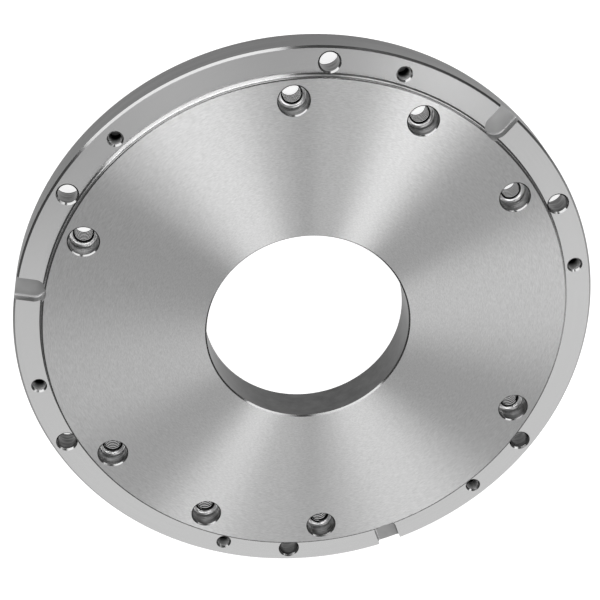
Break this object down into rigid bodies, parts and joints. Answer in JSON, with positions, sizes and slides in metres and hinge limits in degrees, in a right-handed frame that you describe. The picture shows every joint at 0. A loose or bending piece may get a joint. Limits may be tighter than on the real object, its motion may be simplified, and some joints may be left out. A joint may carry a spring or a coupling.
{
  "type": "lathe chuck adapter plate",
  "caption": "Round steel adapter plate for a lathe chuck, with a raised register face, a wide centre bore, tapped face holes, rim screw holes and keyway slots.",
  "frame": {"origin": "centre of the back face, on the spindle axis; the plate lies on its back face", "axes": "+Z is the spindle axis, pointing out of the raised register face; +X passes through the face hole that starts the four-hole pattern; right-handed"},
  "size_m": [0.28, 0.28, 0.021],
  "materials": {
    "turned_steel": "fine turned finish with circular tool marks, bright chamfers"
  },
  "bodies": {
    "root": {"adapter_plate": "turned_steel"}
  },
  "joints": []
}
